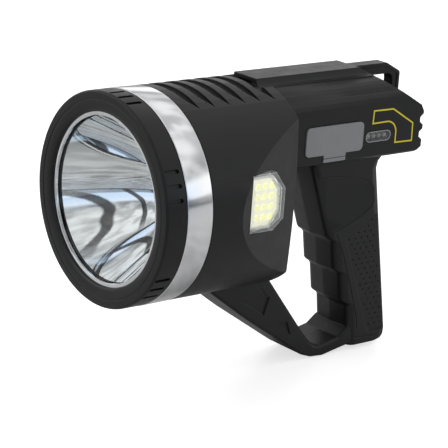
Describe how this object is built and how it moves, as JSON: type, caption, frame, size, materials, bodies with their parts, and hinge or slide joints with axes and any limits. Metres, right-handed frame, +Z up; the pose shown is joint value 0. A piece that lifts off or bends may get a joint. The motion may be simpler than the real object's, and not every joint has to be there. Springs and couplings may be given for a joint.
{
  "type": "rechargeable flashlight",
  "caption": "Pistol-grip searchlight: deep bowl reflector in a round head, side floodlight, closed hand guard, hanging loop and a rubber cover over the charging ports.",
  "frame": {"origin": "under the middle of the lamp, level with the lowest point of the guard", "axes": "-Y is where the beam points, +Y is towards the rear buttons, +X is the side with the side lamp and the ports, +Z is up; the beam's axis is level"},
  "size_m": [0.126, 0.2254, 0.1824],
  "materials": {
    "housing": "moulded black, fine satin grain",
    "bezel": "moulded black, satin",
    "trim": "mirror-bright polished band",
    "gasket": "black, matt",
    "lens": "clear polycarbonate, glossy",
    "reflector": "vacuum-bright mirror",
    "collar": "white moulded",
    "emitter": "phosphor yellow under a clear dome",
    "board_white": "white solder mask",
    "board_green": "green solder mask",
    "sink": "cast, plain",
    "window": "clear moulded, glossy",
    "tray": "silver-grey moulded",
    "cover": "mid-grey, matt",
    "socket": "stamped, bright",
    "cell": "blue film sleeve",
    "holder": "black moulded",
    "button": "dark grey, matt",
    "screw": "zinc-plated"
  },
  "bodies": {
    "lamp": {"bezel_ring": "bezel", "trim_ring": "trim", "lens_gasket": "gasket", "front_lens": "lens", "main_reflector": "reflector", "centring_ring": "collar", "main_emitter": "emitter", "emitter_board": "board_white", "heat_sink": "sink", "housing_right": "housing", "housing_left": "housing", "side_window": "window", "side_tray": "tray", "side_led_board": "board_white", "port_cover_anchor": "cover", "usb_socket": "socket", "charge_socket": "socket", "main_board": "board_green", "gauge_window": "window", "gauge_board": "board_green", "battery_cell_lower": "cell", "battery_cell_upper": "cell", "battery_holder": "holder", "switch_board": "board_green", "housing_screw_1": "screw", "housing_screw_2": "screw", "housing_screw_3": "screw", "housing_screw_4": "screw", "housing_screw_5": "screw", "housing_screw_6": "screw"},
    "port_cover": {"port_cover": "cover"},
    "power_button": {"power_button": "button"},
    "side_lamp_button": {"side_lamp_button": "button"}
  },
  "joints": [
    {"name": "port_cover_hinge", "type": "hinge", "parent": "lamp", "child": "port_cover", "pos_m": [0.0263, 0.03965, 0.1328], "axis": [0, 1, 0], "range_deg": [0, 110]},
    {"name": "power_button_press", "type": "slide", "parent": "lamp", "child": "power_button", "axis": [0, -1, 0], "range_m": [0, 0.001], "stiffness_N_per_m": 500},
    {"name": "side_lamp_button_press", "type": "slide", "parent": "lamp", "child": "side_lamp_button", "axis": [0, -1, 0], "range_m": [0, 0.001], "stiffness_N_per_m": 500}
  ]
}
